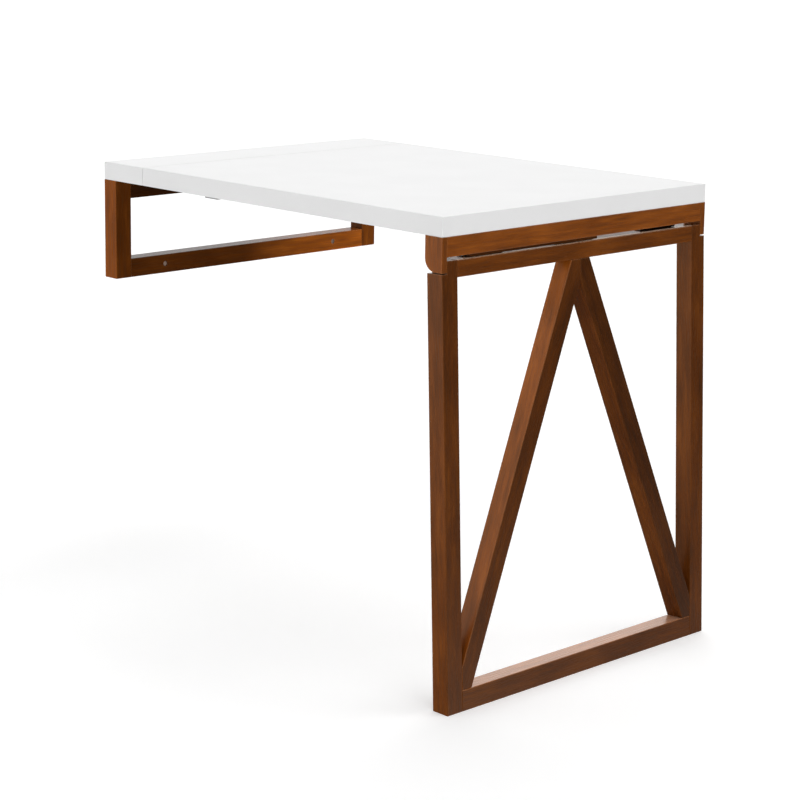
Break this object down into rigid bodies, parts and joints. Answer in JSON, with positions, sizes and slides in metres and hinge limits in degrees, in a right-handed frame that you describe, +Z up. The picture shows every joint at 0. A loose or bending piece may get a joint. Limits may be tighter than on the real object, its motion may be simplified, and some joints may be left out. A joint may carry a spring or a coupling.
{
  "type": "wall mounted drop leaf table",
  "caption": "Wall mounted drop leaf table: a white top hinged to a narrow shelf on a dark wood wall frame, with a braced folding leg frame under its outer end.",
  "frame": {"origin": "centre of the four wall fixing holes, on the plane of the wall, at the wall frame's mid-height", "axes": "+X out of the wall into the room, +Y along the wall, +Z up; the floor is 0.636 m below the origin"},
  "size_m": [0.8449, 0.6, 0.75],
  "materials": {
    "white_board": "white satin laminate",
    "walnut_stained_wood": "dark walnut stain, satin",
    "beech_dowel": "plain turned",
    "hinge_steel": "dark bronzed",
    "screw_steel": "zinc plated",
    "catch_plastic": "moulded grey",
    "magnet": "sintered ferrite"
  },
  "bodies": {
    "wall_frame": {"fixed_shelf": "white_board", "leaf_hinge_pin_1": "hinge_steel", "leaf_hinge_pin_2": "hinge_steel", "leaf_hinge_pin_3": "hinge_steel", "leaf_hinge_shelf_plate_1": "hinge_steel", "leaf_hinge_shelf_plate_2": "hinge_steel", "leaf_hinge_shelf_plate_3": "hinge_steel", "leaf_hinge_shelf_screws": "screw_steel", "shelf_screws": "screw_steel", "wall_bottom_rail": "walnut_stained_wood", "wall_frame_dowels": "beech_dowel", "wall_post_far": "walnut_stained_wood", "wall_post_near": "walnut_stained_wood", "wall_top_rail": "walnut_stained_wood"},
    "leaf": {"apron_board": "walnut_stained_wood", "apron_dowels": "beech_dowel", "catch_housing": "catch_plastic", "catch_magnet": "magnet", "catch_pole_plates": "screw_steel", "catch_screws": "screw_steel", "cheek_far": "walnut_stained_wood", "cheek_near": "walnut_stained_wood", "leaf_hinge_leaf_plate_1": "hinge_steel", "leaf_hinge_leaf_plate_2": "hinge_steel", "leaf_hinge_leaf_plate_3": "hinge_steel", "leaf_hinge_leaf_screws": "screw_steel", "leaf_panel": "white_board", "leg_hinge_board_plate_1": "hinge_steel", "leg_hinge_board_plate_2": "hinge_steel", "leg_hinge_board_plate_3": "hinge_steel", "leg_hinge_board_screws": "screw_steel", "leg_hinge_pin_1": "hinge_steel", "leg_hinge_pin_2": "hinge_steel", "leg_hinge_pin_3": "hinge_steel"},
    "leg": {"catch_strike": "screw_steel", "catch_strike_screws": "screw_steel", "leg_bottom_rail": "walnut_stained_wood", "leg_brace_dowels": "beech_dowel", "leg_brace_far": "walnut_stained_wood", "leg_brace_near": "walnut_stained_wood", "leg_hinge_rail_plate_1": "hinge_steel", "leg_hinge_rail_plate_2": "hinge_steel", "leg_hinge_rail_plate_3": "hinge_steel", "leg_hinge_rail_screws": "screw_steel", "leg_post_far": "walnut_stained_wood", "leg_post_near": "walnut_stained_wood", "leg_rail_dowels": "beech_dowel", "leg_top_rail": "walnut_stained_wood"}
  },
  "joints": [
    {"name": "leaf_drop", "type": "hinge", "parent": "wall_frame", "child": "leaf", "pos_m": [0.1055, 0, 0.0797], "axis": [0, 1, 0], "range_deg": [0, 90]},
    {"name": "leg_fold", "type": "hinge", "parent": "leaf", "child": "leg", "pos_m": [0.79962, 0, 0.0513], "axis": [0, 1, 0], "range_deg": [0, 92.5]}
  ]
}
